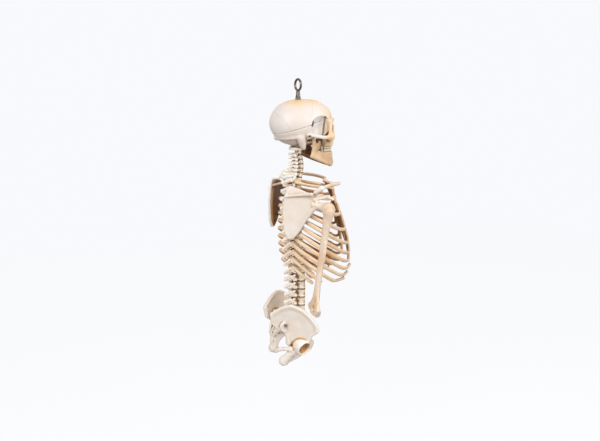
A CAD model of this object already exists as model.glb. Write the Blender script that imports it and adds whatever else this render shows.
"""Looks of the hanging torso skeleton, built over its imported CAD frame.

Every bone is worked as a block of signed distances: the CAD solid is read in, strokes and blobs of
clay are melted onto it or carved out of it, the block is smoothed and grained, and a mesh is cast
from it. Springs, teeth and screw threads come from Geometry Nodes. Sizes are millimetres in the row
frame, apart from those whose names end in _m; meshes are metres.
"""
import logging
import math
from dataclasses import dataclass, field, replace
from enum import Enum

import bpy
import numpy as np
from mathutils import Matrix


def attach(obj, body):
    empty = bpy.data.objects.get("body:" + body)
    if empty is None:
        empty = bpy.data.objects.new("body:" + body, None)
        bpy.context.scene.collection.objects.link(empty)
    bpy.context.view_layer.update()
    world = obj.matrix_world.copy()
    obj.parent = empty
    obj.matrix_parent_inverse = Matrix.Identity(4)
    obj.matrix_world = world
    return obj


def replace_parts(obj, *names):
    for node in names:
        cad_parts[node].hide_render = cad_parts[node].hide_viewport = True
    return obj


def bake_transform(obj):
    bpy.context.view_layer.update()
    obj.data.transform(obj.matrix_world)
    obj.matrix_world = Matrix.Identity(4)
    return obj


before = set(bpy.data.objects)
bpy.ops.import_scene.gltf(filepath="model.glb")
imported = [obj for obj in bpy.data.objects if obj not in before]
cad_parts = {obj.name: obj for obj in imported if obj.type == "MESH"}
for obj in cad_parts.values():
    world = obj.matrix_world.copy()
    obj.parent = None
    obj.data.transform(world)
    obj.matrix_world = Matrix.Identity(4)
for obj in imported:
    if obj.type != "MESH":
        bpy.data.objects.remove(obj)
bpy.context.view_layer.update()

import openvdb as vdb
from mathutils import Vector

LOG = logging.getLogger("skeleton")
MM = 0.001
# CAD facets that meet at more than this, in degrees, stay sharp.
SHARP_ANGLE = 35
# Empty room round a bone in its block of clay, and the distance between the lumps of its grain.
CLAY_ROOM = 8.0
LUMP_SPACING = 9.0
# Half the width, in samples, of the band round a surface that holds distances.
BAND = 3.0
# Wear of a flat face. A rise over the mean of cubes adds to it, each row being half the cube's width
# in samples, the rise's weight and the largest rise that counts. Crowding above CLEAN lowers it.
FLAT_WEAR = 0.5
RIDGE_WEAR = ((4, 0.3, 0.7), (2, 0.25, 0.6))
CLEAN = 0.18
Point = tuple[float, float, float]
Socket = bpy.types.NodeSocket
SIDES = (("right", 1), ("left", -1))


# ---------------------------------------------------------------- node helpers and materials
def linear(hex_colour: str) -> tuple[float, float, float, float]:
    """Turns an sRGB colour such as "F0E0C0" into linear RGBA."""
    levels = (int(hex_colour[start:start + 2], 16) / 255 for start in (0, 2, 4))
    return (*(level / 12.92 if level <= 0.04045 else ((level + 0.055) / 1.055) ** 2.4
              for level in levels), 1.0)


def add_object(name: str, data: bpy.types.ID) -> bpy.types.Object:
    """Puts an object into the scene.

    Args:
        name: its name.
        data: its mesh, lamp or camera.

    Returns:
        The object.
    """
    made = bpy.data.objects.new(name, data)
    bpy.context.scene.collection.objects.link(made)
    return made


@dataclass
class Graph:
    """Lays nodes into a tree and links them."""

    tree: bpy.types.NodeTree

    def put(self, kind: str, inputs: dict | None = None, **settings) -> bpy.types.Node:
        """Adds a node with its settings, values and links.

        Args:
            kind: the node's type name.
            inputs: socket name or number to a value, or to the socket that feeds it.
            settings: properties of the node itself.

        Returns:
            The new node.
        """
        made = self.tree.nodes.new(kind)
        for name, value in settings.items():
            setattr(made, name, value)
        for name, value in (inputs or {}).items():
            if isinstance(value, Socket):
                self.tree.links.new(value, made.inputs[name])
            else:
                made.inputs[name].default_value = value
        return made

    def math(self, way: str, *values: Socket | float) -> Socket:
        """Adds a sum of numbers, of the kind that way names."""
        return self.put("ShaderNodeMath", dict(enumerate(values)), operation=way).outputs[0]

    def vector(self, way: str, *values: Socket | Point) -> bpy.types.NodeOutputs:
        """Adds a sum of vectors, of the kind that way names."""
        return self.put("ShaderNodeVectorMath", dict(enumerate(values)), operation=way).outputs

    def noise(self, place: Socket, scale: float, detail: float) -> Socket:
        """Adds a noise from 0 to 1, with about scale lumps to a metre."""
        return self.put("ShaderNodeTexNoise", {"Vector": place, "Scale": scale,
                                               "Detail": detail}).outputs["Fac"]

    def remap(self, value: Socket, source: tuple[float, float] = (0.0, 1.0),
              target: tuple[float, float] = (0.0, 1.0), **settings) -> Socket:
        """Maps one range onto another and holds it there."""
        return self.put("ShaderNodeMapRange",
                        {"Value": value, "From Min": source[0], "From Max": source[1],
                         "To Min": target[0], "To Max": target[1]}, **settings).outputs[0]

    def mix(self, share: Socket | float, one: Socket | str, two: Socket | str,
            way: str = "MIX") -> Socket:
        """Mixes two colours, each a socket or a hex colour."""
        one, two = (linear(colour) if isinstance(colour, str) else colour for colour in (one, two))
        return self.put("ShaderNodeMix", {0: share, 6: one, 7: two}, data_type="RGBA",
                        blend_type=way).outputs[2]

    def ramp(self, factor: Socket, *stops: tuple[float, str]) -> Socket:
        """Adds a colour ramp.

        Args:
            factor: what drives it.
            stops: places from 0 to 1, each with a hex colour, in rising order.

        Returns:
            The ramp's colour.
        """
        made = self.put("ShaderNodeValToRGB", {"Fac": factor})
        elements = made.color_ramp.elements
        while len(elements) < len(stops):
            elements.new(0.5)
        for element, (place, colour) in zip(elements, stops):
            element.position = place
            element.color = linear(colour)
        return made.outputs["Color"]


def blank_material(name: str) -> tuple[bpy.types.Material, Graph]:
    """Makes an empty node material.

    Args:
        name: the material's name.

    Returns:
        The material and the graph that fills it.
    """
    material = bpy.data.materials.new(name)
    material.use_nodes = True
    material.node_tree.nodes.clear()
    return material, Graph(material.node_tree)


class Suture(Enum):
    """Seams of the skull, each as the plane a*x + b*y + c*z = d in millimetres that it follows."""

    CORONAL = (0.0, 0.94, 0.34, -46.0)
    LAMBDOID = (0.0, 0.82, -0.57, 105.0)


@dataclass(frozen=True)
class BoneFinish:
    """Cast ivory plastic that stands for bone, aged unevenly and darker in its hollows."""

    name: str
    slot: str
    deep: str
    shade: str
    body: str
    ridge: str
    stain: str
    stain_share: float
    roughness: float = 0.5
    seamed: bool = False

    def make(self) -> bpy.types.Material:
        """Builds the material.

        Returns:
            The finished material.
        """
        material, graph = blank_material(self.name)
        place = graph.put("ShaderNodeTexCoord").outputs["Object"]
        wear = graph.put("ShaderNodeAttribute", attribute_name="wear").outputs["Fac"]
        # Soft clouds 40 mm across shift the tone, as plastic that has yellowed unevenly.
        cloud = graph.noise(place, 24.0, 3.0)
        drift = graph.math("MULTIPLY_ADD", cloud, 0.22, -0.11)
        colour = graph.ramp(graph.math("ADD", wear, drift), (0.05, self.deep), (0.27, self.shade),
                            (0.46, self.body), (0.72, self.ridge))
        # Larger stains, 90 mm across, bring in the warm orange of old varnish.
        share = graph.remap(graph.noise(place, 11.0, 2.0), (0.42, 0.68), (0.0, self.stain_share))
        colour = graph.mix(share, colour, self.stain, "MULTIPLY")
        # Specks 3 mm across are the dirt that stays in the pores.
        dirt = graph.remap(graph.noise(place, 330.0, 2.0), (0.6, 0.8), (0.0, 0.22))
        colour = graph.mix(dirt, colour, "9C7B4E")
        # Grain 2 mm across roughens the skin.
        relief = graph.noise(place, 450.0, 3.0)
        if self.seamed:
            colour = self.handled(graph, place, colour)
            seam = self.seams(graph, place)
            colour = graph.mix(seam, colour, "8E6C42")
            relief = graph.math("SUBTRACT", relief, seam)
        bump = graph.put("ShaderNodeBump", {"Height": relief, "Strength": 0.22,
                                            "Distance": 0.25 * MM})
        gloss = graph.remap(cloud, target=(self.roughness - 0.08, self.roughness + 0.1))
        skin = graph.put("ShaderNodeBsdfPrincipled",
                         {"Base Color": colour, "Roughness": gloss, "Normal": bump.outputs[0],
                          "Specular IOR Level": 0.45, "Coat Weight": 0.06, "Coat Roughness": 0.3})
        graph.put("ShaderNodeOutputMaterial", {"Surface": skin.outputs[0]})
        return material

    @staticmethod
    def handled(graph: Graph, place: Socket, colour: Socket) -> Socket:
        """Yellows the face and the crown, where the skull is handled most.

        Args:
            graph: the material's graph.
            place: the object coordinates.
            colour: the colour so far.

        Returns:
            The yellowed colour.
        """
        axes = graph.put("ShaderNodeSeparateXYZ", {"Vector": place}).outputs
        wander = graph.noise(place, 30.0, 2.0)
        # From pale to warm: towards the face along Y and towards the crown along Z.
        shares = [graph.remap(axes[axis], (pale * MM, warm * MM), interpolation_type="SMOOTHSTEP")
                  for axis, pale, warm in (("Y", -38.0, -96.0), ("Z", -68.0, -42.0))]
        most = graph.math("MAXIMUM", *shares)
        uneven = graph.remap(wander, (0.3, 0.65), (0.45, 1.0))
        tint = graph.mix(graph.math("MULTIPLY", most, uneven), "F3F3F6", "FFE4B6")
        return graph.mix(1.0, colour, tint, "MULTIPLY")

    @staticmethod
    def seams(graph: Graph, place: Socket) -> Socket:
        """Draws the wavering seams of the skull.

        Args:
            graph: the material's graph.
            place: the object coordinates.

        Returns:
            A mask that is strongest on a seam and 0 away from it.
        """
        # The seams waver by up to 3 mm to each side, with teeth 4 mm apart.
        swing = graph.math("MULTIPLY_ADD", graph.noise(place, 240.0, 1.0), 6.0 * MM, -3.0 * MM)
        masks = []
        for seam in Suture:
            reach = graph.vector("DOT_PRODUCT", place, seam.value[:3])["Value"]
            gap = graph.math("SUBTRACT", graph.math("ADD", reach, swing), seam.value[3] * MM)
            masks.append(graph.remap(graph.math("ABSOLUTE", gap), (0.2 * MM, 0.9 * MM), (0.24, 0.0)))
        return graph.math("MAXIMUM", *masks)


@dataclass(frozen=True)
class PlainFinish:
    """A metal or plastic of one colour with a little unevenness."""

    name: str
    slot: str
    colour: str
    worn: str
    roughness: float
    metallic: float = 0.0
    coat: float = 0.0
    grain_mm: float = 6.0

    def make(self) -> bpy.types.Material:
        """Builds the material.

        Returns:
            The finished material.
        """
        material, graph = blank_material(self.name)
        place = graph.put("ShaderNodeTexCoord").outputs["Object"]
        # The noise's scale comes from the size of the real marks.
        marks = graph.noise(place, 1 / (self.grain_mm * MM), 3.0)
        colour = graph.ramp(marks, (0.35, self.worn), (0.6, self.colour))
        gloss = graph.remap(marks, target=(self.roughness + 0.1, max(0.05, self.roughness - 0.08)))
        skin = graph.put("ShaderNodeBsdfPrincipled",
                         {"Base Color": colour, "Roughness": gloss, "Metallic": self.metallic,
                          "Coat Weight": self.coat})
        graph.put("ShaderNodeOutputMaterial", {"Surface": skin.outputs[0]})
        return material


# Each bone finish: name, slot, tones from the deepest hollow to the ridges, stain and its share.
# The skull is nearly white at its sides and yellowed where it was handled.
SKULL_BONE = BoneFinish("ivory_skull", "bone", "5E3A1A", "C39458", "E6DED6", "F1EBE4", "F4E6D4", 0.45,
                        roughness=0.46, seamed=True)
# The lower jaw, which fingers open and shut, is the yellowest.
JAW_BONE = BoneFinish("ivory_jaw", "bone", "54320F", "A8733C", "D3B08A", "D5BDA0", "F3D8AE", 0.6,
                      roughness=0.4)
# The flat bones are pale and cool where hands rub them.
FLAT_BONE = BoneFinish("ivory_flat", "bone", "6B4520", "C2945C", "E9DFD4", "F2ECE5", "F4E2CA", 0.45)
# The arm and collar bones are warmer along their shafts.
ARM_BONE = BoneFinish("ivory_arm", "bone", "6B4520", "C2905A", "DFC4A6", "ECDECF", "EFD0AA", 0.4)
# The ribs and the breastbone are tan on the faces that look into the chest.
RIB_BONE = BoneFinish("ivory_rib", "bone", "54300F", "A86E36", "D6B083", "ECD8BC", "F1CC98", 0.65)
# The spine's many recesses hold the dirt, so it looks browner than its pale knobs.
SPINE_BONE = BoneFinish("ivory_spine", "bone", "563A20", "C49E72", "F0E5D6", "F8F2EA", "F0D2A8", 0.35)
# The flexible plastic of the costal cartilages is yellowed and a little darker than the ribs.
MILKY = BoneFinish("milky_cartilage", "cartilage", "5E4128", "9A6E3E", "C8A37A", "DEC6A6", "EFCF9F",
                   0.6, roughness=0.36)
# Glossier cream plastic of the teeth.
TEETH = PlainFinish("cream_teeth", "teeth", "F2E9D2", "DCC79C", 0.25, coat=0.3, grain_mm=5.0)
# Soft tan plastic of the discs.
DISC = PlainFinish("soft_disc", "disc", "B59A72", "8A6C45", 0.6)
# Steel that has darkened in handling: eye, nut, washer, latches, and the arms' and springs' screws.
DARK_STEEL = PlainFinish("dark_steel", "dark_steel", "7A716A", "4E4640", 0.32, metallic=1.0)
# Zinc-plated steel of the rod, pins, bolts and pivot screws.
BRIGHT_STEEL = PlainFinish("zinc_steel", "bright_steel", "A9AAAD", "747578", 0.3, metallic=1.0)
# Dull spring wire.
SPRING_WIRE = PlainFinish("spring_wire", "spring_wire", "77736E", "57534E", 0.38, metallic=1.0)
# Natural plastic of the bush.
BUSH = PlainFinish("bush_plastic", "bush_plastic", "D9D2C0", "C5BBA4", 0.45)

Finish = BoneFinish | PlainFinish
MADE: dict[str, bpy.types.Material] = {}


def material_of(finish: Finish) -> bpy.types.Material:
    """Gives a finish's material, made at the first call.

    Args:
        finish: the finish that is wanted.

    Returns:
        Its material.
    """
    if finish.name not in MADE:
        MADE[finish.name] = finish.make()
    return MADE[finish.name]


# ---------------------------------------------------------------- clay
@dataclass(frozen=True)
class Stroke:
    """A run of round tapers between points, melted on or carved out, with a mirrored twin or none."""

    points: tuple[Point, ...]
    radii: tuple[float, ...]
    blend: float = 3.0
    cut: bool = False
    twin: bool = True

    def box(self) -> tuple[np.ndarray, np.ndarray]:
        """Gives the corners of a box round the run."""
        spots, reach = np.array(self.points, float), max(self.radii)
        return spots.min(0) - reach, spots.max(0) + reach

    def distance(self, places: np.ndarray) -> np.ndarray:
        """Measures how far places are from the run.

        Args:
            places: the places, in the last axis.

        Returns:
            Their signed distances.
        """
        spots = np.array(self.points, float)
        distance = np.full(places.shape[:-1], np.inf)
        for start, end, first, last in zip(spots, spots[1:], self.radii, self.radii[1:]):
            run = end - start
            share = np.clip((places - start) @ run / max(run @ run, 1e-9), 0, 1)
            away = np.linalg.norm(places - (start + share[..., None] * run), axis=-1)
            distance = np.minimum(distance, away - (first + (last - first) * share))
        return distance


@dataclass(frozen=True)
class Blob:
    """An egg with its axes along X, Y and Z, melted on or carved out, with a twin or none."""

    centre: Point
    radii: Point
    blend: float = 3.0
    cut: bool = False
    twin: bool = True

    def box(self) -> tuple[np.ndarray, np.ndarray]:
        """Gives the corners of a box round the egg."""
        centre, radii = np.array(self.centre, float), np.array(self.radii, float)
        return centre - radii, centre + radii

    def distance(self, places: np.ndarray) -> np.ndarray:
        """Measures roughly how far places are from the egg.

        Args:
            places: the places, in the last axis.

        Returns:
            Their signed distances.
        """
        offset, radii = places - np.array(self.centre, float), np.array(self.radii, float)
        near = np.linalg.norm(offset / radii, axis=-1)
        steep = np.linalg.norm(offset / radii ** 2, axis=-1)
        return near * (near - 1) / np.maximum(steep, 1e-6)


Shape = Stroke | Blob


def lone(*shapes: Shape) -> tuple[Shape, ...]:
    """Gives shapes without their mirrored twins."""
    return tuple(replace(shape, twin=False) for shape in shapes)


def read_mesh(mesh: bpy.types.Mesh) -> tuple[np.ndarray, np.ndarray]:
    """Reads a mesh as arrays.

    Args:
        mesh: the mesh, in metres.

    Returns:
        Its points in millimetres and its triangles' corners, one row each.
    """
    mesh.calc_loop_triangles()
    points = np.empty(len(mesh.vertices) * 3, np.float32)
    mesh.vertices.foreach_get("co", points)
    corners = np.empty(len(mesh.loop_triangles) * 3, np.int32)
    mesh.loop_triangles.foreach_get("vertices", corners)
    return points.reshape(-1, 3) / MM, corners.reshape(-1, 3)


def distances(points: np.ndarray, corners: np.ndarray, step: float,
              margin: float) -> tuple[np.ndarray, np.ndarray]:
    """Measures a block of signed distances to a surface.

    Args:
        points: the surface's points.
        corners: its triangles.
        step: the distance between samples.
        margin: empty room around the surface.

    Returns:
        The block's low corner and its values.
    """
    grid = vdb.FloatGrid.createLevelSetFromPolygons(
        points.astype(np.float32), triangles=corners.astype(np.uint32),
        transform=vdb.createLinearTransform(step), halfWidth=BAND)
    first = np.floor((points.min(0) - margin) / step).astype(int)
    last = np.ceil((points.max(0) + margin) / step).astype(int)
    values = np.empty(tuple(last - first + 1), np.float32)
    grid.copyToArray(values, ijk=tuple(int(v) for v in first))
    return first * step, values


@dataclass
class Clay:
    """A bone as a block of signed distances in millimetres, negative inside.

    Attributes:
        low: the block's low corner.
        step: the distance between its samples.
        values: the distances.
    """

    low: np.ndarray
    step: float
    values: np.ndarray

    def window(self, low: np.ndarray, high: np.ndarray) -> tuple[tuple[slice, ...], np.ndarray] | None:
        """Finds the part of the block between two corners.

        Args:
            low: the low corner.
            high: the high corner.

        Returns:
            The slices and the samples' places, or None if the part is empty.
        """
        start = np.maximum(np.floor((low - self.low) / self.step).astype(int), 0)
        stop = np.minimum(np.ceil((high - self.low) / self.step).astype(int) + 1, self.values.shape)
        if np.any(stop <= start):
            return None
        axes = [self.low[k] + self.step * np.arange(start[k], stop[k]) for k in range(3)]
        places = np.stack(np.meshgrid(*axes, indexing="ij"), -1)
        return tuple(slice(a, b) for a, b in zip(start, stop)), places

    def melt(self, shape: Shape, side: int) -> None:
        """Joins a shape to the block, or carves it out, with a smooth seam.

        Args:
            shape: the stroke or blob.
            side: 1 for the shape as it is, -1 for its mirrored twin.
        """
        mirror = np.array((side, 1.0, 1.0))
        ends = np.array(shape.box()) * mirror
        room = shape.blend + BAND * self.step
        found = self.window(ends.min(0) - room, ends.max(0) + room)
        if found is None:
            return
        part, places = found
        held, distance = self.values[part], shape.distance(places * mirror)
        one, two = (-held, distance) if shape.cut else (held, distance)
        mixed = np.maximum(shape.blend - np.abs(one - two), 0) / shape.blend
        joined = np.minimum(one, two) - mixed * mixed * shape.blend / 4
        self.values[part] = -joined if shape.cut else joined

    def work(self, shapes: tuple[Shape, ...]) -> None:
        """Works shapes into the block in order."""
        for shape in shapes:
            for side in ((1, -1) if shape.twin else (1,)):
                self.melt(shape, side)
        limit = BAND * self.step
        np.clip(self.values, -limit, limit, out=self.values)

    def relax(self, passes: int) -> None:
        """Smooths the block.

        Args:
            passes: how many times each sample is averaged with its neighbours.
        """
        for _ in range(passes):
            for axis in range(3):
                padded = np.concatenate([self.values.take([0], axis), self.values,
                                         self.values.take([-1], axis)], axis)
                cut = [slice(None)] * 3
                sides = []
                for start, stop in ((0, -2), (1, -1), (2, None)):
                    cut[axis] = slice(start, stop)
                    sides.append(padded[tuple(cut)])
                self.values = (sides[0] + 2 * sides[1] + sides[2]) / 4

    def grain(self, size: float, height: float, seed: int) -> None:
        """Raises soft lumps on the surface.

        Args:
            size: the distance between lumps.
            height: how far they rise or sink.
            seed: the number that fixes their places.
        """
        shape = tuple(int(n * self.step / size) + 3 for n in self.values.shape)
        lattice = np.random.default_rng(seed).uniform(-1, 1, shape).astype(np.float32)
        near = np.argwhere(np.abs(self.values) < 2 * self.step)
        lumps = sample(lattice, near * (self.step / size))
        self.values[tuple(near.T)] += height * lumps

    def wear(self, points: np.ndarray, normals: np.ndarray) -> np.ndarray:
        """Measures how worn each point is: 0 deep in a dirty hollow, 1 on a rubbed ridge.

        Args:
            points: the surface's points.
            normals: their outward normals.

        Returns:
            The wear at each point.
        """
        level = np.full(len(points), FLAT_WEAR, np.float32)
        for reach, weight, most in RIDGE_WEAR:
            near = (points - self.low) / self.step
            rise = sample(box_blur(self.values, reach), near) / self.step
            level += weight * np.clip(rise, -1, most)
        level -= np.clip(CROWD.at(points, normals) - CLEAN, 0, 1)
        return np.clip(level, 0, 1).astype(np.float32)

    def cast(self, name: str, finish: Finish, body: str) -> bpy.types.Object:
        """Makes a mesh of the clay's surface, with its wear as a "wear" attribute.

        Args:
            name: the piece's name.
            finish: its finish.
            body: the CAD body that it moves with.

        Returns:
            The finished piece.
        """
        grid = vdb.FloatGrid(BAND * self.step)
        grid.transform = vdb.createLinearTransform(self.step)
        first = np.rint(self.low / self.step).astype(int)
        grid.copyFromArray(self.values, ijk=tuple(int(v) for v in first))
        points, quads = grid.convertToQuads(isovalue=0.0)
        mesh = bpy.data.meshes.new(name)
        mesh.from_pydata((points * MM).tolist(), [], quads.tolist())
        mesh.validate()
        mesh.shade_smooth()
        normals = np.empty(len(points) * 3, np.float32)
        mesh.vertex_normals.foreach_get("vector", normals)
        wear = mesh.attributes.new("wear", "FLOAT", "POINT")
        wear.data.foreach_set("value", self.wear(points, normals.reshape(-1, 3)))
        return piece(mesh, name, finish, body)


@dataclass
class Crowd:
    """How much bone stands round each place, from 0 in the open to 1 deep inside.

    Dirt and old varnish stay where cloths and fingers don't reach: between the vertebrae, inside the
    rib cage and in the bowl of the pelvis.
    """

    step: float = 3.0
    margin: float = 30.0
    # how far in front of a surface the crowding is measured
    reach: float = 9.0
    # sheltered rooms, each as its middle, its half widths and how much dirt its walls hold
    rooms: tuple[tuple[Point, Point, float], ...] = (
        ((0, -50, -430), (125, 100, 215), 0.5),
        ((87, 6, -355), (42, 42, 90), 0.4),
        ((-87, 6, -355), (42, 42, 90), 0.4),
        ((0, 22, -712), (78, 60, 56), 0.2),
        ((0, -76, -130), (46, 28, 36), 0.35),
        ((0, -60, -180), (40, 40, 30), 0.3),
        ((94, 8, -779), (20, 20, 20), 0.3),
        ((-94, 8, -779), (20, 20, 20), 0.3),
    )
    low: np.ndarray = field(init=False)
    share: np.ndarray = field(init=False)

    def __post_init__(self) -> None:
        """Measures the whole CAD model."""
        points, corners, count = [], [], 0
        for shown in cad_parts.values():
            spots, faces = read_mesh(shown.data)
            points.append(spots)
            corners.append(faces + count)
            count += len(spots)
        self.low, values = distances(np.concatenate(points), np.concatenate(corners), self.step,
                                     self.margin)
        # Blurred over cubes 21 mm wide and then 15 mm wide.
        filled = np.clip(0.5 - values / self.step, 0, 1)
        self.share = box_blur(box_blur(filled, 3), 2)

    def at(self, points: np.ndarray, normals: np.ndarray) -> np.ndarray:
        """Measures the crowding in front of a surface.

        Args:
            points: the surface's points, in millimetres.
            normals: their outward normals.

        Returns:
            The crowding at each point.
        """
        crowding = sample(self.share, (points + normals * self.reach - self.low) / self.step)
        for centre, radii, amount in self.rooms:
            offset = (points - np.array(centre)) / np.array(radii)
            near = np.maximum(np.linalg.norm(offset, axis=1), 0.1)
            facing = -np.sum(offset * normals, axis=1) / near
            # A face gets it by how much it looks into the room, and none half a width past its wall.
            crowding += amount * np.clip(facing + 0.35, 0, 1) * np.clip(3.6 - 2.4 * near, 0, 1)
        return crowding


def sample(block: np.ndarray, places: np.ndarray) -> np.ndarray:
    """Reads a block between its samples.

    Args:
        block: the block.
        places: where to read, counted in samples.

    Returns:
        One value for each place.
    """
    spots = np.clip(places, 0, np.array(block.shape) - 1.001)
    base = spots.astype(int)
    share = spots - base
    total = np.zeros(len(spots), np.float32)
    for corner in range(8):
        step = np.array([(corner >> k) & 1 for k in range(3)])
        weight = np.prod(np.where(step == 1, share, 1 - share), axis=1)
        total += weight * block[tuple((base + step).T)]
    return total


def box_blur(block: np.ndarray, reach: int) -> np.ndarray:
    """Averages a block over cubes, by running sums.

    Args:
        block: the block.
        reach: the cube's half width, in samples.

    Returns:
        The averaged block.
    """
    width = 2 * reach + 1
    for axis in range(3):
        edge = [(0, 0)] * 3
        edge[axis] = (reach + 1, reach)
        sums = np.cumsum(np.pad(block, edge, mode="edge"), axis=axis, dtype=np.float64)
        count = sums.shape[axis]
        ahead = sums.take(range(width, count), axis)
        behind = sums.take(range(0, count - width), axis)
        block = ((ahead - behind) / width).astype(np.float32)
    return block


CROWD = Crowd()


# ---------------------------------------------------------------- pieces
def piece(mesh: bpy.types.Mesh, name: str, finish: Finish, body: str | None) -> bpy.types.Object:
    """Puts a mesh into the scene as a piece of the model.

    Args:
        mesh: the mesh, in metres in the row frame.
        name: the piece's name.
        finish: its finish.
        body: the CAD body that it moves with, or None for a piece that joins two bodies.

    Returns:
        The new object.
    """
    mesh.materials.clear()
    mesh.materials.append(material_of(finish))
    made = add_object(name, mesh)
    if body is not None:
        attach(made, body)
    LOG.info("%s: %d faces", name, len(mesh.polygons))
    return made


def paint_nodes(finish: Finish, *nodes: str) -> None:
    """Shows CAD nodes as they are, in a finish.

    Args:
        finish: their finish.
        nodes: their names.
    """
    for node in nodes:
        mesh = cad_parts[node].data
        mesh.materials.clear()
        mesh.materials.append(material_of(finish))
        mesh.shade_smooth()
        mesh.set_sharp_from_angle(angle=math.radians(SHARP_ANGLE))


@dataclass(frozen=True)
class Bone:
    """How one CAD node becomes a bone."""

    node: str
    finish: BoneFinish
    shapes: tuple[Shape, ...] = ()
    step: float = 1.2
    passes: int = 3
    lump: float = 0.3
    swell: float = 0.0
    body: str = "trunk"

    def build(self) -> None:
        """Works the clay and casts the bone."""
        step = self.step * 1.0
        low, values = distances(*read_mesh(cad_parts[self.node].data), step, CLAY_ROOM)
        clay = Clay(low, step, values)
        clay.work(self.shapes)
        clay.values -= self.swell
        clay.grain(LUMP_SPACING, self.lump, seed=len(self.node) * 7 + 3)
        clay.relax(self.passes)
        made = clay.cast(f"bone_{self.node}", self.finish, self.body)
        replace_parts(made, self.node)


# ---------------------------------------------------------------- Geometry Nodes
class Recipe(Graph):
    """A Geometry Nodes tree with named inputs, applied once and baked to a mesh."""

    def __init__(self, name: str) -> None:
        """Starts a tree of this name that takes and gives geometry."""
        super().__init__(bpy.data.node_groups.new(name, "GeometryNodeTree"))
        for way in ("INPUT", "OUTPUT"):
            self.tree.interface.new_socket("Geometry", in_out=way, socket_type="NodeSocketGeometry")
        self.entry = self.tree.nodes.new("NodeGroupInput")

    def inputs(self, kind: str, *names: str) -> list[Socket]:
        """Adds named inputs of a kind, and gives the sockets to link from."""
        for name in names:
            self.tree.interface.new_socket(name, in_out="INPUT", socket_type=f"NodeSocket{kind}")
        return [self.entry.outputs[name] for name in names]

    def add(self, kind: str, **links) -> Socket:
        """Adds a geometry node, its sockets named with underscores for spaces."""
        return self.put(f"GeometryNode{kind}", {name.replace("_", " "): value
                                                for name, value in links.items()}).outputs[0]

    def end(self, geometry: Socket, finish: Finish) -> None:
        """Realises the instances, sets the material and closes the tree.

        Args:
            geometry: what the tree makes.
            finish: its finish.
        """
        real = self.add("RealizeInstances", Geometry=geometry)
        coat = self.add("SetMaterial", Geometry=real, Material=material_of(finish))
        smooth = self.add("SetShadeSmooth", Geometry=coat)
        self.put("NodeGroupOutput", {"Geometry": smooth})

    def bake(self, name: str, **values) -> bpy.types.Mesh:
        """Runs the tree on an empty mesh and keeps what it makes.

        Args:
            name: the mesh's name.
            values: the inputs' values, by input name with underscores for spaces.

        Returns:
            The baked mesh.
        """
        carrier = add_object(f"{name}_carrier", bpy.data.meshes.new(f"{name}_carrier"))
        modifier = carrier.modifiers.new("recipe", "NODES")
        modifier.node_group = self.tree
        sockets = {item.name: item.identifier for item in self.tree.interface.items_tree
                   if item.item_type == "SOCKET" and item.in_out == "INPUT"}
        for key, value in values.items():
            modifier[sockets[key.replace("_", " ")]] = value
        graph = bpy.context.evaluated_depsgraph_get()
        mesh = bpy.data.meshes.new_from_object(carrier.evaluated_get(graph))
        carrier.modifiers.remove(modifier)
        bpy.data.objects.remove(carrier)
        mesh.name = name
        return mesh


def coil_recipe(finish: Finish) -> Recipe:
    """A wire wound round a straight line, with its ends drawn in to the line.

    Args:
        finish: the wire's finish.

    Returns:
        The recipe.
    """
    recipe = Recipe("coil")
    start, end, right, front = recipe.inputs("Vector", "Start", "End", "Right", "Front")
    radius, wire, turns = recipe.inputs("Float", "Coil Radius", "Wire Radius", "Turns")
    line = recipe.add("CurvePrimitiveLine", Start=start, End=end)
    # Twelve points to each turn.
    fine = recipe.add("ResampleCurve", Curve=line, Count=recipe.math("MULTIPLY", turns, 12.0))
    along = recipe.put("GeometryNodeSplineParameter").outputs["Factor"]
    angle = recipe.math("MULTIPLY", recipe.math("MULTIPLY", along, turns), math.tau)
    # The last 4% of the wire at each end runs in to the middle, as the coil's hooks do.
    inner = recipe.math("ABSOLUTE", recipe.math("SUBTRACT", along, 0.5))
    reach = recipe.math("MULTIPLY", recipe.remap(inner, (0.46, 0.5), (1.0, 0.25)), radius)
    swing = []
    for way, side in (("COSINE", right), ("SINE", front)):
        part = recipe.math("MULTIPLY", recipe.math(way, angle), reach)
        swing.append(recipe.put("ShaderNodeVectorMath", {0: side, "Scale": part},
                                operation="SCALE").outputs[0])
    wound = recipe.add("SetPosition", Geometry=fine, Offset=recipe.vector("ADD", *swing)[0])
    ring = recipe.add("CurvePrimitiveCircle", Resolution=8, Radius=wire)
    recipe.end(recipe.add("CurveToMesh", Curve=wound, Profile_Curve=ring, Fill_Caps=True), finish)
    return recipe


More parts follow.
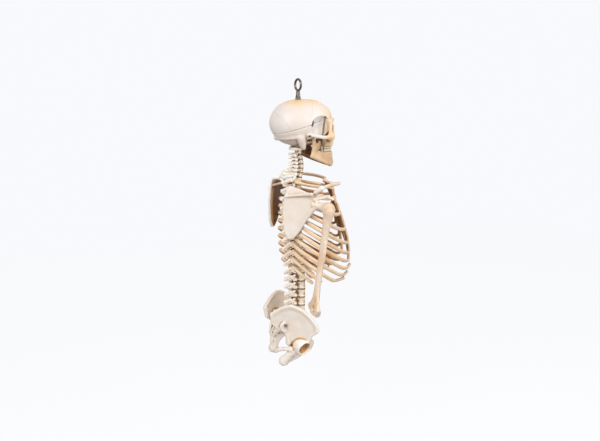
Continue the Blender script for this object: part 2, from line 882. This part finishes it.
def tooth_recipe(finish: Finish) -> Recipe:
    """A row of rounded teeth on a half-ellipse, broader towards its ends.

    Args:
        finish: the teeth's finish.

    Returns:
        The recipe.
    """
    recipe = Recipe("tooth_row")
    count, seed = recipe.inputs("Int", "Count", "Seed")
    half_x, half_y, height, ends = recipe.inputs("Float", "Half X", "Half Y", "Height", "Ends")
    middle, = recipe.inputs("Vector", "Middle")
    line = recipe.add("MeshLine", Count=count)
    number = recipe.add("InputIndex")
    share = recipe.math("DIVIDE", recipe.math("ADD", number, 0.5), count)
    span = recipe.math("MULTIPLY_ADD", ends, -2.0, math.pi)
    turn = recipe.math("ADD", recipe.math("MULTIPLY_ADD", share, span, ends), math.pi)
    sides = [recipe.math("MULTIPLY", recipe.math(way, turn), reach)
             for way, reach in (("COSINE", half_x), ("SINE", half_y))]
    spot = recipe.put("ShaderNodeCombineXYZ", dict(enumerate(sides))).outputs[0]
    placed = recipe.add("SetPosition", Geometry=line, Position=recipe.vector("ADD", spot, middle)[0])
    # Molars, at the ends, are wide and deep; the front teeth are narrow.
    molar = recipe.math("ABSOLUTE", recipe.math("SUBTRACT", share, 0.5))
    size = [recipe.remap(molar, (0.0, 0.5), (front * MM, back * MM))
            for front, back in ((4.5, 6.9), (5.4, 8.6))]
    jitter = recipe.put("FunctionNodeRandomValue", {"Min": 0.93, "Max": 1.0, "Seed": seed},
                        data_type="FLOAT").outputs["Value"]
    size.append(recipe.math("MULTIPLY", height, jitter))
    size = recipe.put("ShaderNodeCombineXYZ", dict(enumerate(size))).outputs[0]
    facing = recipe.put("ShaderNodeCombineXYZ", {2: recipe.math("ADD", turn, math.pi / 2)}).outputs[0]
    block = recipe.add("MeshCube", Size=(1, 1, 1), Vertices_X=3, Vertices_Y=3, Vertices_Z=4)
    tooth = recipe.add("SubdivisionSurface", Mesh=block, Level=2)
    row = recipe.add("InstanceOnPoints", Points=placed, Instance=tooth, Rotation=facing, Scale=size)
    recipe.end(row, finish)
    return recipe


def thread_recipe(finish: Finish) -> Recipe:
    """A screw thread: a ridge wound up a straight shank.

    Args:
        finish: the steel's finish.

    Returns:
        The recipe.
    """
    recipe = Recipe("thread")
    foot, = recipe.inputs("Vector", "Foot")
    length, radius, pitch = recipe.inputs("Float", "Length", "Radius", "Pitch")
    helix = recipe.add("CurveSpiral", Resolution=20, Rotations=recipe.math("DIVIDE", length, pitch),
                       Start_Radius=radius, End_Radius=radius, Height=length)
    ridge = recipe.add("CurvePrimitiveCircle", Resolution=4, Radius=0.35 * MM)
    tube = recipe.add("CurveToMesh", Curve=helix, Profile_Curve=ridge)
    recipe.end(recipe.add("Transform", Geometry=tube, Translation=foot), finish)
    return recipe


# ---------------------------------------------------------------- sub-assemblies
@dataclass
class Hardware:
    """The eye bolt and what clamps the skull cap under it."""

    thread_foot: float = -80.0
    thread_length: float = 32.0
    thread_radius: float = 3.85
    pitch: float = 1.25

    def build(self) -> None:
        """Builds the hanging hardware."""
        paint_nodes(DARK_STEEL, "eye_bolt", "cap_nut", "cap_washer")
        mesh = thread_recipe(DARK_STEEL).bake(
            "eye_thread", Foot=(0.0, 0.0, self.thread_foot * MM), Length=self.thread_length * MM,
            Radius=self.thread_radius * MM, Pitch=self.pitch * MM)
        piece(mesh, "eye_thread", DARK_STEEL, "trunk")


@dataclass
class Skull:
    """Cap, base and face, jaw, teeth and the springs between them."""

    # the Y where both half-ellipses of teeth have their middle
    row_middle: float = -66.0
    teeth_in_row: int = 14
    # the ends of the right spring, on the middles of its screws
    spring_top: Point = (-60.0, -60.0, -90.0)
    spring_foot: Point = (-56.0, -48.0, -184.0)
    screw_radius: float = 1.9
    coil_radius: float = 2.45
    wire_radius: float = 0.5
    turns: float = 44.0

    def build(self) -> None:
        """Builds the head."""
        Bone("skull_cap", SKULL_BONE, step=1.1, passes=2, swell=0.2, body="skull").build()
        self.base()
        self.jaw()
        self.teeth()
        self.springs()
        paint_nodes(BRIGHT_STEEL, "jaw_pivot_screws")
        paint_nodes(DARK_STEEL, "jaw_spring_top_screws", "jaw_spring_foot_screws", "cap_latches")
        paint_nodes(BUSH, "skull_bush")

    def base(self) -> None:
        """The face and the underside of the brain case."""
        shapes = (
            # outer rim of the eye socket, brow, lower rim
            Stroke(((-50, -84, -103), (-54, -80, -122), (-53, -80, -142)), (4, 3.6, 5.5), 5),
            Stroke(((-50, -83, -102), (-30, -98, -98.5), (-8, -102.5, -103)), (3.4, 3.4, 3.6), 6),
            Stroke(((-53, -80, -142), (-38, -96, -143.5), (-19, -103, -137), (-11, -106, -118)),
                   (5, 4.4, 3.8, 3.4), 5),
            # bridge of the nose and the sides of its opening
            Stroke(((0, -101, -104), (0, -107, -116), (0, -113, -127)), (5.5, 4, 2.6), 4, twin=False),
            Stroke(((-5, -109, -126), (-12, -104, -144), (-12, -105, -158), (-2, -109, -164)),
                   (2.4, 3.4, 3.2, 2.8), 4),
            # upper jaw down to the tooth row
            Stroke(((-24, -78, -171), (-21, -92, -171), (-9, -101.5, -171), (0, -103.5, -171)),
                   (6.6, 6.4, 6, 6), 6),
            Stroke(((-48, -84, -148), (-34, -84, -160), (-26, -76, -168)), (7.5, 6, 6), 7),
            # cheekbone and its arch
            Blob((-50, -83, -147), (8.5, 10, 8.5), 7),
            Stroke(((-54, -78, -147), (-66, -60, -148), (-68.5, -32, -143), (-60, -10, -138.5)),
                   (5.6, 4, 3.7, 4.6), 4),
            # behind the upper jaw: the wings that carry the jaw's inner muscles
            Stroke(((-17, -50, -150), (-18, -45, -172)), (4, 2.6), 5),
            # mastoid, bump at the back, ridge across the back, condyles over the atlas
            Stroke(((-52, 10, -148), (-50, 4, -166), (-48, 0, -177)), (11, 9, 5), 7),
            Blob((0, 67, -149), (8, 6, 6), 6, twin=False),
            Stroke(((0, 65, -150), (-13, 63, -150.5), (-26, 57.5, -150.5), (-38, 48, -150),
                   (-49, 34, -148), (-55, 16, -144)), (2.6, 2.6, 2.6, 2.4, 2.4, 2.6), 8),
            Blob((-17, -1, -172.5), (6.5, 11, 4.5), 4),
            # ear hole, notch of the cheek, nose opening, eye sockets, hollow under the cheek
            Stroke(((-75, -13, -143), (-48, -14, -143)), (3.6, 2.6), 2, cut=True),
            Blob((-24, -108, -155), (11, 9, 10), 6, cut=True),
            Stroke(((0, -112, -134), (0, -96, -136)), (4.6, 4), 3, cut=True, twin=False),
            Blob((-5.5, -106, -149), (5.6, 22, 10.5), 3, cut=True),
            Blob((-31.5, -99, -120), (17, 26, 15.5), 3, cut=True),
            Stroke(((-47, -98, -120), (-25, -60, -120)), (11, 4), 4, cut=True),
            *self.root_grooves(29.6, 43.0, -177.5, -165.0),
        )
        Bone("skull_base", SKULL_BONE, shapes, step=1.15, passes=2, swell=0.2, body="skull").build()

    def jaw(self) -> None:
        """The lower jaw, with its two processes and the chin."""
        shapes = (
            # lower edge with the chin, gum ridge, hinder edge up to the joint, front process
            Stroke(((-48, -26, -203), (-46, -48, -214), (-36, -74, -225), (-18, -95, -231),
                   (0, -101.5, -230)), (5.2, 5, 5.2, 6.2, 7.2), 5),
            Stroke(((-40, -58, -199), (-26, -80, -198.5), (-13, -96, -198.5), (0, -101, -198.5)),
                   (5.4, 5.4, 5, 5), 6),
            Stroke(((-48.5, -26, -202), (-48.5, -30, -180), (-49, -30, -160), (-49, -30, -151)),
                   (5, 4.2, 4, 4.6), 4),
            Stroke(((-43, -58, -192), (-46, -52, -174), (-48, -49, -160.5)), (5, 3.8, 2.6), 4),
            Blob((0, -102.5, -225), (13, 6, 9), 8, twin=False),
            Blob((0, -98, -213), (15, 5.5, 12), 9, twin=False),
            # hollow of the branch, and the small hole beside the chin
            Blob((-54.5, -38, -185), (4, 13, 18), 5, cut=True),
            Stroke(((-26, -98, -214), (-23, -88, -214)), (1.8, 1.4), 1.5, cut=True),
            *self.root_grooves(29.4, 40.6, -193.0, -206.0),
        )
        Bone("mandible", JAW_BONE, shapes, step=1.0, passes=2, body="jaw").build()

    def root_grooves(self, half_x: float, half_y: float, gum: float, end: float) -> list[Stroke]:
        """Grooves between the bulges that the roots of the teeth raise in a jaw.

        Args:
            half_x: half the width of the tooth row.
            half_y: its depth.
            gum: the height of the gum line.
            end: the height where the grooves run out.

        Returns:
            The carving strokes.
        """
        grooves = []
        for number in range(self.teeth_in_row // 2):
            turn = math.pi * (0.5 + number / self.teeth_in_row * 0.94)
            x, y = half_x * math.cos(turn), self.row_middle - half_y * math.sin(turn)
            grooves.append(Stroke(((x, y, gum), (x * 1.02, y - 0.6, end)), (2.0, 0.9), 1.2, cut=True))
        return grooves

    def teeth(self) -> None:
        """Both rows of teeth."""
        recipe = tooth_recipe(TEETH)
        for node, body, level, height, half_x, half_y, seed in (
                ("upper_teeth", "skull", -180.2, 8.6, 25.0, 37.0, 5),
                ("lower_teeth", "jaw", -189.2, 7.8, 24.0, 35.5, 9)):
            mesh = recipe.bake(f"row_{node}", Count=self.teeth_in_row, Half_X=half_x * MM,
                               Half_Y=half_y * MM, Middle=(0.0, self.row_middle * MM, level * MM),
                               Height=height * MM, Ends=0.105, Seed=seed)
            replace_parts(piece(mesh, f"row_{node}", TEETH, body), node)

    def springs(self) -> None:
        """The two long coils that hold the jaw up."""
        recipe = coil_recipe(SPRING_WIRE)
        for side, sign in SIDES:
            top, foot = (Vector((x * sign, y, z)) * MM
                         for x, y, z in (self.spring_top, self.spring_foot))
            way = (foot - top).normalized()
            start, end = top + way * self.screw_radius * MM, foot - way * self.screw_radius * MM
            right = way.cross(Vector((0, 1, 0))).normalized()
            mesh = recipe.bake(f"coil_{side}", Start=start, End=end, Right=right,
                               Front=way.cross(right), Coil_Radius=self.coil_radius * MM,
                               Wire_Radius=self.wire_radius * MM, Turns=self.turns)
            coil = piece(mesh, f"coil_{side}", SPRING_WIRE, None)
            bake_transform(coil)
            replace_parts(coil, f"jaw_spring_{side}")


@dataclass
class Spine:
    """Vertebrae, discs, rod, sacrum and coccyx.

    Attributes:
        groups: each group of vertebrae, with the Y and Z where the spines of its vertebrae end.
        rear_holes: the mouths of the sacrum's left holes behind.
        front_holes: the same in front.
    """

    groups: tuple[tuple[str, tuple[tuple[float, float], ...]], ...] = (
        ("c1_c2", ()), ("c3_c4", ()), ("c5_c7", ((40.6, -246.9), (48.3, -256.5))),
        ("t1_t2", ((52.0, -282.3), (54.1, -306.8))), ("t3_t4", ((56.0, -332.1), (56.2, -359.3))),
        ("t5_t6", ((54.9, -386.7), (53.9, -410.7))), ("t7_t8", ((52.9, -434.4), (51.5, -459.3))),
        ("t9_t10", ((49.8, -484.2), (48.2, -509.2))), ("t11_t12", ((46.6, -534.6), (44.9, -560.4))),
        ("l1_l2", ((45.3, -581.8), (45.0, -604.3))),
        ("l3_l5", ((45.2, -629.8), (45.3, -655.6), (45.5, -681.4))))
    rear_holes: tuple[Point, ...] = ((17, 46, -699), (15, 68, -705), (12.5, 82, -722), (10, 89, -740))
    front_holes: tuple[Point, ...] = ((17, 26, -733), (14, 46, -736), (11, 62, -746), (8, 73, -759))

    def build(self) -> None:
        """Builds the column."""
        for group, tips in self.groups:
            neck = group.startswith("c")
            tall = 6.4 if group.startswith("l") else 5.4
            knobs = lone(*(Blob((0.0, y - 4.0, z), (4.0, 4.4, tall), 2.5) for y, z in tips))
            Bone(f"vertebrae_{group}", SPINE_BONE, knobs, step=0.9 if neck else 1.1,
                 passes=2 if neck else 3, lump=0.4, swell=0.2 if neck else 0.6).build()
        paint_nodes(DISC, "spine_discs")
        paint_nodes(BRIGHT_STEEL, "spine_rod", "rod_coupling", "skull_collar", "rod_end_nut")
        self.sacrum()
        ridges = lone(*(Stroke(((-width, 85.0 - drop * 0.06, -764.0 - drop),
                                (width, 85.0 - drop * 0.06, -764.0 - drop)), (3.0, 3.0))
                        for drop, width in ((2.5, 9.0), (10.0, 5.5), (16.5, 3.0))))
        Bone("coccyx", SPINE_BONE, ridges, step=0.8).build()

    def sacrum(self) -> None:
        """The sacrum with its crests and its four pairs of holes, behind and in front."""
        shapes = [Stroke(((-24, 44, -696), (-20, 72, -704), (-15, 88, -728), (-11, 91, -752)),
                         (3.4, 3.2, 2.6, 2.2), 4)]
        for mouths, (back, up), radii in ((self.rear_holes, (-8, -8), (3.2, 2.4)),
                                          (self.front_holes, (7, 8), (3.6, 2.6))):
            shapes += [Stroke(((x, y, z), (x * 0.9, y + back, z + up)), radii, 2.5, cut=True)
                       for x, y, z in mouths]
        Bone("sacrum", SPINE_BONE, tuple(shapes), lump=0.6).build()


@dataclass
class Chest:
    """Ribs, breastbone and cartilages."""

    pairs: int = 12
    notch: Point = (0.0, -97.0, -284.0)
    slope: tuple[float, float] = (-53.0, -164.0)
    ridges: tuple[tuple[float, float], ...] = ((50.0, 12.0), (76.0, 14.0), (100.0, 15.0), (124.0, 15.0))

    def build(self) -> None:
        """Builds the rib cage."""
        for number in range(1, self.pairs + 1):
            Bone(f"rib_pair_{number:02d}", RIB_BONE, passes=2, lump=0.35, swell=0.7).build()
        self.breastbone()
        Bone("costal_cartilages", MILKY, step=1.3, passes=2, swell=0.6).build()

    def breastbone(self) -> None:
        """The breastbone, with the notch at its top and the ridges where its parts met."""
        down = np.array((0.0, *self.slope)) / math.hypot(*self.slope)
        shapes = []
        for reach, width in self.ridges:
            _, y, z = np.array(self.notch) + down * reach + np.array((0.0, -4.6, 1.5))
            shapes.append(Stroke(((-width, y, z), (width, y, z)), (1.6, 1.6), 4.0))
        shapes.append(Blob((0.0, -97.0, -281.0), (10.0, 12.0, 6.0), 4.0, cut=True))
        Bone("sternum", RIB_BONE, lone(*shapes), step=1.1, passes=4, lump=0.5).build()


@dataclass
class ShoulderGirdle:
    """Collar bones, shoulder blades and the pins of the arms."""

    # of the right blade, in X and Y: its inner edge, the way to its outer edge, and its front's way
    inner: tuple[float, float] = (-70.0, 68.0)
    run: tuple[float, float] = (-77.0, -85.0)
    front: tuple[float, float] = (0.74, -0.67)

    def build(self) -> None:
        """Builds the shoulders."""
        for side, sign in SIDES:
            self.blade(side, sign)
        Bone("clavicles", ARM_BONE, step=1.1, lump=0.4).build()
        paint_nodes(BRIGHT_STEEL, "shoulder_pins")

    def blade(self, side: str, sign: int) -> None:
        """One shoulder blade: thin between a thick outer edge, a lip inside and its spine.

        Args:
            side: right or left.
            sign: 1 for the right side, -1 for the left.
        """
        way = np.array(self.run) / math.hypot(*self.run)

        def on(along: float, height: float, out: float = 0.0) -> Point:
            """A point of the blade from its inner edge, with out towards its front face."""
            x, y = np.array(self.inner) + way * along + np.array(self.front) * out
            return (x * sign, y, height)

        shapes = lone(
            Stroke((on(22, -430), on(44, -408), on(66, -374), on(92, -338)), (4.4, 4.4, 4.4, 6), 5),
            Stroke((on(12, -290), on(1, -345), on(2, -405), on(14, -430)), (3, 3, 3.2, 4), 4),
            Stroke((on(6, -309, -4), on(50, -301, -10), on(92, -294, -20)), (3, 3.6, 4.4), 5),
            Blob(on(42, -362, 62.2), (60, 60, 66), 2, cut=True),
            Blob(on(42, -362, -62.2), (60, 60, 66), 2, cut=True),
        )
        Bone(f"scapula_{side}", FLAT_BONE, shapes, step=1.1, passes=2).build()


@dataclass
class Arms:
    """The two upper arm bones and their neck screws.

    Attributes:
        head: the middle of the right arm's ball.
        lean: how far each arm leans outwards, in degrees.
        swings: how far the right and left elbows rest behind the plumb line, in degrees.
    """

    head: Point = (-172.0, -26.0, -334.0)
    lean: float = 2.6
    swings: tuple[float, float] = (6.5, -14.0)

    def build(self) -> None:
        """Builds both arms."""
        for (side, sign), swing in zip(SIDES, self.swings):
            self.arm(side, sign, swing)
            paint_nodes(DARK_STEEL, f"arm_screw_{side}")

    def arm(self, side: str, sign: int, swing: float) -> None:
        """One upper arm bone.

        Args:
            side: right or left.
            sign: 1 for the right side, -1 for the left.
            swing: how far the elbow rests behind the plumb line, in degrees.
        """
        head = np.array((self.head[0] * sign, *self.head[1:]))
        down = np.array((sign * math.tan(math.radians(self.lean)), math.tan(math.radians(swing)), -1.0))
        down /= np.linalg.norm(down)
        front = np.cross(down, (1.0, 0.0, 0.0))
        front /= np.linalg.norm(front)
        across = np.cross(front, down)

        def on(outward: float, forward: float, below: float) -> Point:
            """A point of the arm from the middle of its ball."""
            return tuple(head - across * sign * outward + front * forward + down * below)

        shapes = lone(
            # bumps beside the ball, deltoid ridge, edges that flare to the elbow, elbow knobs
            Stroke((on(15, -2, 0), on(13, 2, 22), on(7, 3, 50)), (7.5, 7, 5), 6),
            Stroke((on(3, 15.5, 1), on(0, 13, 12)), (4.6, 3.6), 5),
            Stroke((on(9, 1, 95), on(9, 2, 125), on(6, 2, 150)), (3, 4.4, 3), 7),
            Stroke((on(5, 0, 236), on(19, 0, 276), on(24, 0, 290)), (3.6, 4, 6.6), 7),
            Stroke((on(-5, 0, 240), on(-20, -1, 280), on(-27, -2, 292)), (3.6, 4.2, 7.2), 7),
            Blob(on(-8, 3, 302), (9, 11.5, 11), 5),
            Blob(on(12, 5, 301), (9, 10.5, 10), 5),
            Stroke((on(2, 20, 303), on(2, -20, 303)), (1.4, 1.4), 6, cut=True),
            # room round the head of the neck screw
            Stroke((on(6.4, 15.2, 24), on(9.4, 22.4, 24)), (4.5, 4.5), 1, cut=True),
        )
        Bone(f"humerus_{side}", ARM_BONE, shapes, lump=0.5, body=f"arm_{side}").build()


@dataclass
class Pelvis:
    """Hip bones, the disc between them and the bolts."""

    # three points of the right wing's plane: its hinder spine, its front spine and its socket
    rear: Point = (-33.0, 97.0, -679.0)
    fore: Point = (-108.0, -24.0, -717.0)
    socket: Point = (-76.0, 16.0, -772.0)

    def build(self) -> None:
        """Builds the pelvis."""
        for side, sign in SIDES:
            self.hip(side, sign)
        paint_nodes(DISC, "symphysis_disc")
        paint_nodes(BRIGHT_STEEL, "pelvis_bolts")

    def hip(self, side: str, sign: int) -> None:
        """One hip bone.

        Args:
            side: right or left.
            sign: 1 for the right side, -1 for the left.
        """
        rear, fore, socket = (np.array(spot) for spot in (self.rear, self.fore, self.socket))
        run = (fore - rear) / np.linalg.norm(fore - rear)
        out = np.cross(socket - rear, run)
        out /= np.linalg.norm(out)
        up = np.cross(out, run)

        def on(along: float, height: float, lift: float = 0.0) -> Point:
            """A point of the wing from its hinder spine, with lift off its plane."""
            x, y, z = rear + run * along + up * height + out * lift
            return (x * sign, y, z)

        shapes = lone(
            # crest, front edge, rear edge
            Stroke((on(1, 5), on(22, 31), on(50, 50, 1), on(82, 49, 2), on(112, 36, 2), on(137, 15),
                   on(145, 0)), (4.8, 3.9, 3.9, 4.3, 4, 4, 5), 8),
            Stroke((on(144, -4), on(131, -24), on(128, -46), on(118, -62)), (4.6, 4.4, 5.6, 8), 6),
            Stroke((on(2, 0), on(10, -23), on(28, -32), on(47, -36), on(62, -48), on(72, -70)),
                   (5.5, 5.5, 4.6, 4.6, 6, 9), 6),
            # the two hollow faces of the wing, socket rim, seat bone, socket
            *(Blob(on(86, 8, lift), (70, 70, 70), 3, cut=True) for lift in (-72.9, 72.9)),
            Blob((sign * -82, 12, -775), (13, 25, 25), 5),
            Blob((sign * -52, 66, -822), (11, 13, 15), 6),
            Blob((sign * -94, 8, -779), (22, 20, 20), 3, cut=True),
        )
        Bone(f"hip_{side}", FLAT_BONE, shapes, lump=0.5).build()


@dataclass
class Studio:
    """Camera, light and the plain white room."""

    lens_mm: float = 38.76
    # as a share of the sensor's width
    shift: float = 2.0 / 600
    height_m: float = 0.03
    distance_m: float = 1.9
    azimuth: float = 250.0
    tilt: float = 12.77
    aim: Point = (0.0, 0.0, -0.4)
    floor_m: float = -1.5
    floor_half_m: float = 4.0

    def build(self) -> None:
        """Builds the studio."""
        self.camera()
        self.world()
        self.room()
        # From above and behind the figure a large soft key, and from before it a weak fill.
        self.lamp("key", (-2.7, 2.4, 1.7), 103.0, 2.1)
        self.lamp("fill", (-1.5, -1.4, 0.4), 25.0, 1.6)
        bpy.context.scene.view_settings.view_transform = "Standard"

    def camera(self) -> None:
        """The camera: at the figure's right side, a little behind it and at head height."""
        turn = math.radians(self.azimuth)
        data = bpy.data.cameras.new("camera")
        data.sensor_width = 36.0
        data.lens = self.lens_mm
        data.shift_x = self.shift
        made = add_object("camera", data)
        made.location = (math.sin(turn) * self.distance_m, -math.cos(turn) * self.distance_m,
                         self.height_m)
        made.rotation_euler = (math.radians(90 - self.tilt), 0, turn)
        bpy.context.scene.camera = made

    def world(self) -> None:
        """Even light from all round, and white where the camera sees past the room."""
        world = bpy.data.worlds.new("world")
        world.use_nodes = True
        world.node_tree.nodes.clear()
        graph = Graph(world.node_tree)
        path = graph.put("ShaderNodeLightPath").outputs
        seen = graph.math("MAXIMUM", path["Is Camera Ray"], path["Is Glossy Ray"])
        seen = graph.math("MAXIMUM", seen, path["Is Transmission Ray"])
        # The light falls off below, as under a row of ceiling lamps.
        way = graph.put("ShaderNodeTexCoord").outputs["Generated"]
        height = graph.put("ShaderNodeSeparateXYZ", {"Vector": way}).outputs["Z"]
        level = graph.remap(height, (-0.6, 0.6), (0.2, 0.62))
        soft = graph.put("ShaderNodeBackground", {"Color": linear("F6F0EC"), "Strength": level})
        white = graph.put("ShaderNodeBackground", {"Color": linear("F8F9FC"), "Strength": 1.0})
        mixed = graph.put("ShaderNodeMixShader", {0: seen, 1: soft.outputs[0], 2: white.outputs[0]})
        graph.put("ShaderNodeOutputWorld", {"Surface": mixed.outputs[0]})
        bpy.context.scene.world = world

    def room(self) -> None:
        """A pale floor far below the hanging model."""
        material, graph = blank_material("white_floor")
        camera = graph.put("ShaderNodeLightPath").outputs["Is Camera Ray"]
        # Seen from the model the floor is greyer, so that little light comes up from below.
        paper = graph.put("ShaderNodeBsdfDiffuse", {"Color": graph.mix(camera, "BCBCBE", "F2F2F4")})
        glow = graph.put("ShaderNodeEmission", {"Color": linear("F8F9FC"), "Strength": 1.07})
        # A seventh of the paper shows through the glow, so the model's shadow stays on it.
        share = graph.math("MULTIPLY", camera, 0.86)
        mixed = graph.put("ShaderNodeMixShader", {0: share, 1: paper.outputs[0], 2: glow.outputs[0]})
        graph.put("ShaderNodeOutputMaterial", {"Surface": mixed.outputs[0]})
        mesh = bpy.data.meshes.new("floor")
        corners = [(x * self.floor_half_m, y * self.floor_half_m, self.floor_m)
                   for x, y in ((-1, -1), (1, -1), (1, 1), (-1, 1))]
        mesh.from_pydata(corners, [], [(0, 1, 2, 3)])
        mesh.materials.append(material)
        floor = add_object("floor", mesh)

    def lamp(self, name: str, place: Point, power: float, size: float) -> None:
        """Hangs one square lamp that faces the model.

        Args:
            name: the lamp's name.
            place: where it hangs, in metres.
            power: its power in watts.
            size: its width in metres.
        """
        data = bpy.data.lights.new(name, "AREA")
        data.energy = power
        data.size = size
        made = add_object(name, data)
        made.location = place
        made.rotation_euler = (Vector(self.aim) - Vector(place)).to_track_quat("-Z", "Y").to_euler()


def main() -> None:
    """Builds the studio and every sub-assembly in order."""
    logging.basicConfig(level=logging.INFO, format="%(name)s %(message)s")
    for assembly in (Hardware(), Skull(), Spine(), Chest(), ShoulderGirdle(), Arms(), Pelvis(),
                     Studio()):
        LOG.info("building %s", type(assembly).__name__)
        assembly.build()


if __name__ == "__main__":
    main()
